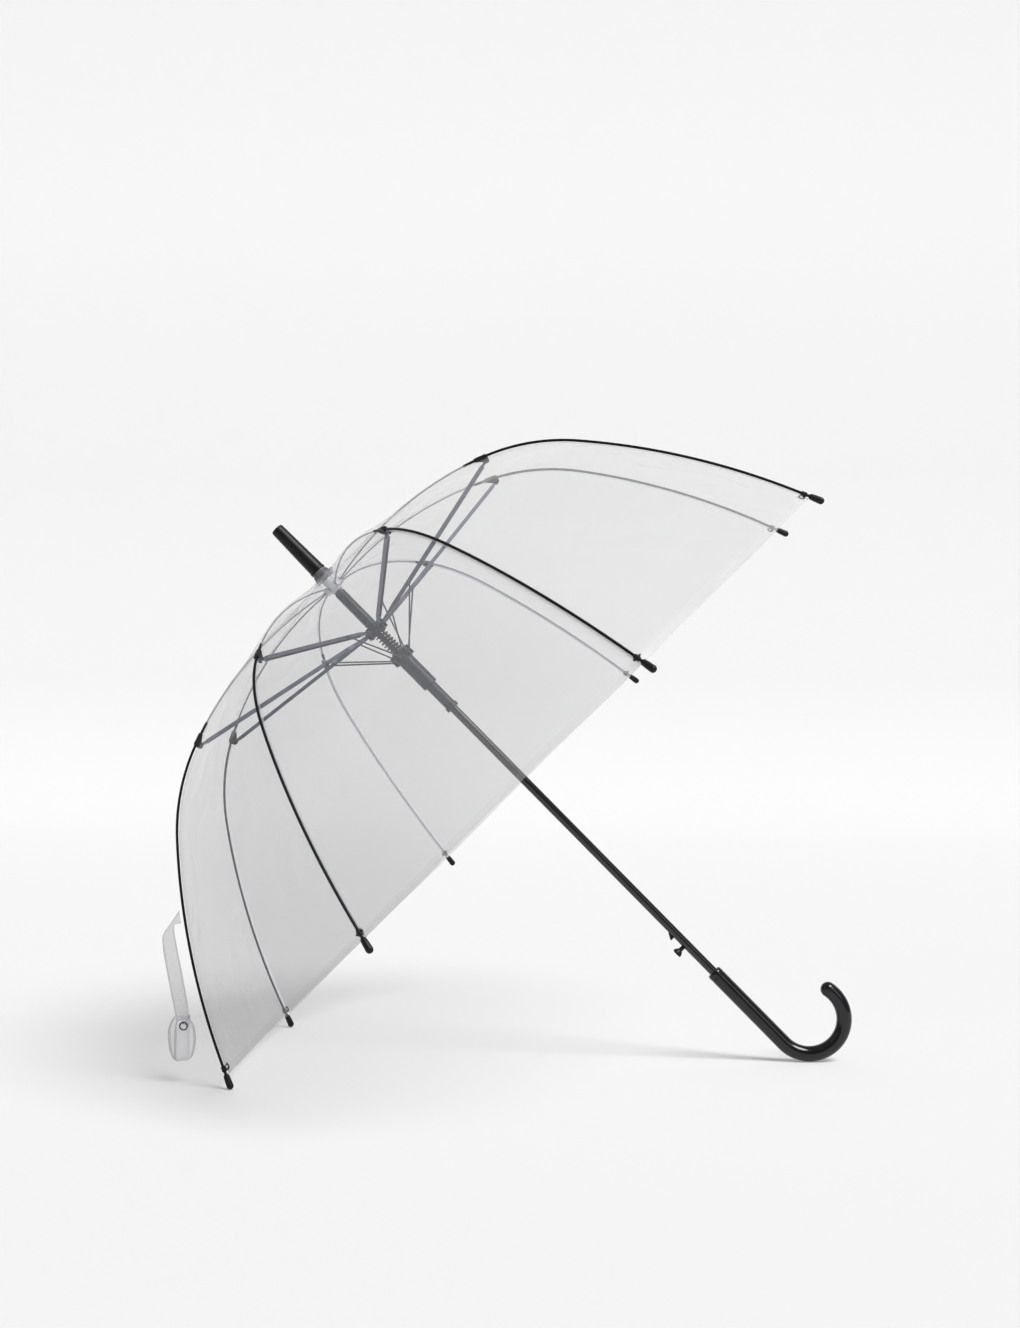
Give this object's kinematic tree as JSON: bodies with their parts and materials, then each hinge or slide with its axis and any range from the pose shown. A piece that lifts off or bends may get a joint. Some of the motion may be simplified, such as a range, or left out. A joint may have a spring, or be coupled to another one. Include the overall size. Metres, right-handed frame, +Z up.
{
  "type": "stick umbrella",
  "caption": "Clear dome-shaped stick umbrella, open and lying on two rib tips and the bend of its crook handle.",
  "frame": {"origin": "centre of the part's bounding box in X and Y, on the floor it rests on", "axes": "+Z up, +X the way the handle points along the floor, Y across the canopy"},
  "size_m": [0.7469, 0.8748, 0.6932],
  "materials": {
    "shaft_black": "gloss black enamel",
    "black_plastic": "satin",
    "handle_plastic": "gloss",
    "grey_plastic": "satin",
    "pale_plastic": "satin",
    "rib_black": "black coated glass fibre",
    "wire_steel": "drawn wire",
    "arm_steel": "rolled channel",
    "clear_film": "clear soft film",
    "snap_metal": "gloss"
  },
  "bodies": {
    "frame": {"shaft": "shaft_black", "ferrule": "black_plastic", "crown_cap": "grey_plastic", "top_notch": "pale_plastic", "handle": "handle_plastic"},
    "upper_runner": {"upper_runner": "grey_plastic", "opening_spring": "wire_steel"},
    "lower_runner": {"lower_runner": "grey_plastic"},
    "release_button": {"release_button": "black_plastic"},
    "runner_catch": {"runner_catch": "wire_steel"},
    "upper_rib_1": {"upper_rib_1": "wire_steel", "connector_1": "black_plastic"},
    "lower_rib_1": {"lower_rib_1": "rib_black", "canopy_1": "clear_film"},
    "arm_1": {"arm_1": "arm_steel"},
    "strut_1": {"strut_1": "wire_steel"},
    "upper_rib_2": {"upper_rib_2": "wire_steel", "connector_2": "black_plastic"},
    "lower_rib_2": {"lower_rib_2": "rib_black", "canopy_2": "clear_film"},
    "arm_2": {"arm_2": "arm_steel"},
    "strut_2": {"strut_2": "wire_steel"},
    "upper_rib_3": {"upper_rib_3": "wire_steel", "connector_3": "black_plastic"},
    "lower_rib_3": {"lower_rib_3": "rib_black", "canopy_3": "clear_film"},
    "arm_3": {"arm_3": "arm_steel"},
    "strut_3": {"strut_3": "wire_steel"},
    "upper_rib_4": {"upper_rib_4": "wire_steel", "connector_4": "black_plastic"},
    "lower_rib_4": {"lower_rib_4": "rib_black", "canopy_4": "clear_film"},
    "arm_4": {"arm_4": "arm_steel"},
    "strut_4": {"strut_4": "wire_steel"},
    "upper_rib_5": {"upper_rib_5": "wire_steel", "connector_5": "black_plastic"},
    "lower_rib_5": {"lower_rib_5": "rib_black", "canopy_5": "clear_film", "tie_strap": "clear_film", "strap_snap": "snap_metal"},
    "arm_5": {"arm_5": "arm_steel"},
    "strut_5": {"strut_5": "wire_steel"},
    "upper_rib_6": {"upper_rib_6": "wire_steel", "connector_6": "black_plastic"},
    "lower_rib_6": {"lower_rib_6": "rib_black", "canopy_6": "clear_film"},
    "arm_6": {"arm_6": "arm_steel"},
    "strut_6": {"strut_6": "wire_steel"},
    "upper_rib_7": {"upper_rib_7": "wire_steel", "connector_7": "black_plastic"},
    "lower_rib_7": {"lower_rib_7": "rib_black", "canopy_7": "clear_film"},
    "arm_7": {"arm_7": "arm_steel"},
    "strut_7": {"strut_7": "wire_steel"},
    "upper_rib_8": {"upper_rib_8": "wire_steel", "connector_8": "black_plastic"},
    "lower_rib_8": {"lower_rib_8": "rib_black", "canopy_8": "clear_film"},
    "arm_8": {"arm_8": "arm_steel"},
    "strut_8": {"strut_8": "wire_steel"}
  },
  "joints": [
    {"name": "runner_slide", "type": "slide", "parent": "frame", "child": "lower_runner", "axis": [0.704, 0, -0.7102], "range_m": [0, 0.36343], "stiffness_N_per_m": 30, "springref_m": -0.3},
    {"name": "hub_slide", "type": "slide", "parent": "frame", "child": "upper_runner", "axis": [0.704, 0, -0.7102], "range_m": [0, 0.38768]},
    {"name": "button_press", "type": "slide", "parent": "frame", "child": "release_button", "axis": [0.7102, 0, 0.704], "range_m": [0, 0.004], "stiffness_N_per_m": 250, "springref_m": -0.002},
    {"name": "catch_draw", "type": "slide", "parent": "frame", "child": "runner_catch", "axis": [0.7102, 0, 0.704], "range_m": [0, 0.00401]},
    {"name": "rib_fold_1", "type": "hinge", "parent": "frame", "child": "upper_rib_1", "pos_m": [-0.20592, 0.0044, 0.5434], "axis": [-0.2718, 0.9239, -0.2694], "range_deg": [0, 74.26]},
    {"name": "rib_straighten_1", "type": "hinge", "parent": "upper_rib_1", "child": "lower_rib_1", "pos_m": [-0.0342, 0.09223, 0.67135], "axis": [-0.2718, 0.9239, -0.2694], "range_deg": [-40.02, 0], "deforming": ["canopy_1"]},
    {"name": "arm_fold_1", "type": "hinge", "parent": "upper_rib_1", "child": "arm_1", "pos_m": [-0.03225, 0.09148, 0.66681], "axis": [-0.2718, 0.9239, -0.2694], "range_deg": [-148.5, 0]},
    {"name": "strut_fold_1", "type": "hinge", "parent": "arm_1", "child": "strut_1", "pos_m": [-0.12543, 0.03036, 0.5375], "axis": [-0.2718, 0.9239, -0.2694], "range_deg": [0, 31.08]},
    {"name": "rib_fold_2", "type": "hinge", "parent": "frame", "child": "upper_rib_2", "pos_m": [-0.21034, 0.01063, 0.53902], "axis": [-0.6562, 0.3827, -0.6504], "range_deg": [0, 74.26]},
    {"name": "rib_straighten_2", "type": "hinge", "parent": "upper_rib_2", "child": "lower_rib_2", "pos_m": [-0.12684, 0.22265, 0.57954], "axis": [-0.6562, 0.3827, -0.6504], "range_deg": [-40.02, 0], "deforming": ["canopy_2"]},
    {"name": "arm_fold_2", "type": "hinge", "parent": "upper_rib_2", "child": "arm_2", "pos_m": [-0.12413, 0.22085, 0.57574], "axis": [-0.6562, 0.3827, -0.6504], "range_deg": [-148.5, 0]},
    {"name": "strut_fold_2", "type": "hinge", "parent": "arm_2", "child": "strut_2", "pos_m": [-0.15391, 0.06647, 0.50926], "axis": [-0.6562, 0.3827, -0.6504], "range_deg": [0, 31.08]},
    {"name": "rib_fold_3", "type": "hinge", "parent": "frame", "child": "upper_rib_3", "pos_m": [-0.21659, 0.01063, 0.53282], "axis": [-0.6562, -0.3827, -0.6504], "range_deg": [0, 74.26]},
    {"name": "rib_straighten_3", "type": "hinge", "parent": "upper_rib_3", "child": "lower_rib_3", "pos_m": [-0.25785, 0.22265, 0.44969], "axis": [-0.6562, -0.3827, -0.6504], "range_deg": [-40.02, 0], "deforming": ["canopy_3"]},
    {"name": "arm_fold_3", "type": "hinge", "parent": "upper_rib_3", "child": "arm_3", "pos_m": [-0.25408, 0.22085, 0.44695], "axis": [-0.6562, -0.3827, -0.6504], "range_deg": [-148.5, 0]},
    {"name": "strut_fold_3", "type": "hinge", "parent": "arm_3", "child": "strut_3", "pos_m": [-0.19219, 0.06364, 0.47133], "axis": [-0.6562, -0.3827, -0.6504], "range_deg": [0, 31.08]},
    {"name": "rib_fold_4", "type": "hinge", "parent": "frame", "child": "upper_rib_4", "pos_m": [-0.22101, 0.0044, 0.52844], "axis": [-0.2718, -0.9239, -0.2694], "range_deg": [0, 74.26]},
    {"name": "rib_straighten_4", "type": "hinge", "parent": "upper_rib_4", "child": "lower_rib_4", "pos_m": [-0.35048, 0.09223, 0.35787], "axis": [-0.2718, -0.9239, -0.2694], "range_deg": [-40.02, 0], "deforming": ["canopy_4"]},
    {"name": "arm_fold_4", "type": "hinge", "parent": "upper_rib_4", "child": "arm_4", "pos_m": [-0.34596, 0.09148, 0.35588], "axis": [-0.2718, -0.9239, -0.2694], "range_deg": [-148.5, 0]},
    {"name": "strut_fold_4", "type": "hinge", "parent": "arm_4", "child": "strut_4", "pos_m": [-0.21784, 0.02353, 0.44591], "axis": [-0.2718, -0.9239, -0.2694], "range_deg": [0, 31.08]},
    {"name": "rib_fold_5", "type": "hinge", "parent": "frame", "child": "upper_rib_5", "pos_m": [-0.22101, -0.0044, 0.52844], "axis": [0.2718, -0.9239, 0.2694], "range_deg": [0, 74.26]},
    {"name": "rib_straighten_5", "type": "hinge", "parent": "upper_rib_5", "child": "lower_rib_5", "pos_m": [-0.35048, -0.09223, 0.35787], "axis": [0.2718, -0.9239, 0.2694], "range_deg": [-40.02, 0], "deforming": ["canopy_5"]},
    {"name": "arm_fold_5", "type": "hinge", "parent": "upper_rib_5", "child": "arm_5", "pos_m": [-0.34596, -0.09148, 0.35588], "axis": [0.2718, -0.9239, 0.2694], "range_deg": [-148.5, 0]},
    {"name": "strut_fold_5", "type": "hinge", "parent": "arm_5", "child": "strut_5", "pos_m": [-0.21582, -0.03036, 0.4479], "axis": [0.2718, -0.9239, 0.2694], "range_deg": [0, 31.08]},
    {"name": "rib_fold_6", "type": "hinge", "parent": "frame", "child": "upper_rib_6", "pos_m": [-0.21659, -0.01063, 0.53282], "axis": [0.6562, -0.3827, 0.6504], "range_deg": [0, 74.26]},
    {"name": "rib_straighten_6", "type": "hinge", "parent": "upper_rib_6", "child": "lower_rib_6", "pos_m": [-0.25785, -0.22265, 0.44969], "axis": [0.6562, -0.3827, 0.6504], "range_deg": [-40.02, 0], "deforming": ["canopy_6"]},
    {"name": "arm_fold_6", "type": "hinge", "parent": "upper_rib_6", "child": "arm_6", "pos_m": [-0.25408, -0.22085, 0.44695], "axis": [0.6562, -0.3827, 0.6504], "range_deg": [-148.5, 0]},
    {"name": "strut_fold_6", "type": "hinge", "parent": "arm_6", "child": "strut_6", "pos_m": [-0.18734, -0.06647, 0.47614], "axis": [0.6562, -0.3827, 0.6504], "range_deg": [0, 31.08]},
    {"name": "rib_fold_7", "type": "hinge", "parent": "frame", "child": "upper_rib_7", "pos_m": [-0.21034, -0.01063, 0.53902], "axis": [0.6562, 0.3827, 0.6504], "range_deg": [0, 74.26]},
    {"name": "rib_straighten_7", "type": "hinge", "parent": "upper_rib_7", "child": "lower_rib_7", "pos_m": [-0.12684, -0.22265, 0.57954], "axis": [0.6562, 0.3827, 0.6504], "range_deg": [-40.02, 0], "deforming": ["canopy_7"]},
    {"name": "arm_fold_7", "type": "hinge", "parent": "upper_rib_7", "child": "arm_7", "pos_m": [-0.12413, -0.22085, 0.57574], "axis": [0.6562, 0.3827, 0.6504], "range_deg": [-148.5, 0]},
    {"name": "strut_fold_7", "type": "hinge", "parent": "arm_7", "child": "strut_7", "pos_m": [-0.14906, -0.06364, 0.51408], "axis": [0.6562, 0.3827, 0.6504], "range_deg": [0, 31.08]},
    {"name": "rib_fold_8", "type": "hinge", "parent": "frame", "child": "upper_rib_8", "pos_m": [-0.20592, -0.0044, 0.5434], "axis": [0.2718, 0.9239, 0.2694], "range_deg": [0, 74.26]},
    {"name": "rib_straighten_8", "type": "hinge", "parent": "upper_rib_8", "child": "lower_rib_8", "pos_m": [-0.0342, -0.09223, 0.67135], "axis": [0.2718, 0.9239, 0.2694], "range_deg": [-40.02, 0], "deforming": ["canopy_8"]},
    {"name": "arm_fold_8", "type": "hinge", "parent": "upper_rib_8", "child": "arm_8", "pos_m": [-0.03225, -0.09148, 0.66681], "axis": [0.2718, 0.9239, 0.2694], "range_deg": [-148.5, 0]},
    {"name": "strut_fold_8", "type": "hinge", "parent": "arm_8", "child": "strut_8", "pos_m": [-0.12342, -0.02353, 0.53949], "axis": [0.2718, 0.9239, 0.2694], "range_deg": [0, 31.08]}
  ],
  "couplings": [
    {"joint": "hub_slide", "follows": "runner_slide", "ratio": 1.0665},
    {"joint": "catch_draw", "follows": "button_press", "ratio": 1},
    {"joint": "rib_fold_1", "follows": "runner_slide", "rad_per_m": 3.5654},
    {"joint": "rib_straighten_1", "follows": "runner_slide", "rad_per_m": -1.921},
    {"joint": "arm_fold_1", "follows": "runner_slide", "rad_per_m": -7.1307},
    {"joint": "strut_fold_1", "follows": "runner_slide", "rad_per_m": 1.4917},
    {"joint": "rib_fold_2", "follows": "runner_slide", "rad_per_m": 3.5654},
    {"joint": "rib_straighten_2", "follows": "runner_slide", "rad_per_m": -1.921},
    {"joint": "arm_fold_2", "follows": "runner_slide", "rad_per_m": -7.1307},
    {"joint": "strut_fold_2", "follows": "runner_slide", "rad_per_m": 1.4917},
    {"joint": "rib_fold_3", "follows": "runner_slide", "rad_per_m": 3.5654},
    {"joint": "rib_straighten_3", "follows": "runner_slide", "rad_per_m": -1.921},
    {"joint": "arm_fold_3", "follows": "runner_slide", "rad_per_m": -7.1307},
    {"joint": "strut_fold_3", "follows": "runner_slide", "rad_per_m": 1.4917},
    {"joint": "rib_fold_4", "follows": "runner_slide", "rad_per_m": 3.5654},
    {"joint": "rib_straighten_4", "follows": "runner_slide", "rad_per_m": -1.921},
    {"joint": "arm_fold_4", "follows": "runner_slide", "rad_per_m": -7.1307},
    {"joint": "strut_fold_4", "follows": "runner_slide", "rad_per_m": 1.4917},
    {"joint": "rib_fold_5", "follows": "runner_slide", "rad_per_m": 3.5654},
    {"joint": "rib_straighten_5", "follows": "runner_slide", "rad_per_m": -1.921},
    {"joint": "arm_fold_5", "follows": "runner_slide", "rad_per_m": -7.1307},
    {"joint": "strut_fold_5", "follows": "runner_slide", "rad_per_m": 1.4917},
    {"joint": "rib_fold_6", "follows": "runner_slide", "rad_per_m": 3.5654},
    {"joint": "rib_straighten_6", "follows": "runner_slide", "rad_per_m": -1.921},
    {"joint": "arm_fold_6", "follows": "runner_slide", "rad_per_m": -7.1307},
    {"joint": "strut_fold_6", "follows": "runner_slide", "rad_per_m": 1.4917},
    {"joint": "rib_fold_7", "follows": "runner_slide", "rad_per_m": 3.5654},
    {"joint": "rib_straighten_7", "follows": "runner_slide", "rad_per_m": -1.921},
    {"joint": "arm_fold_7", "follows": "runner_slide", "rad_per_m": -7.1307},
    {"joint": "strut_fold_7", "follows": "runner_slide", "rad_per_m": 1.4917},
    {"joint": "rib_fold_8", "follows": "runner_slide", "rad_per_m": 3.5654},
    {"joint": "rib_straighten_8", "follows": "runner_slide", "rad_per_m": -1.921},
    {"joint": "arm_fold_8", "follows": "runner_slide", "rad_per_m": -7.1307},
    {"joint": "strut_fold_8", "follows": "runner_slide", "rad_per_m": 1.4917}
  ]
}
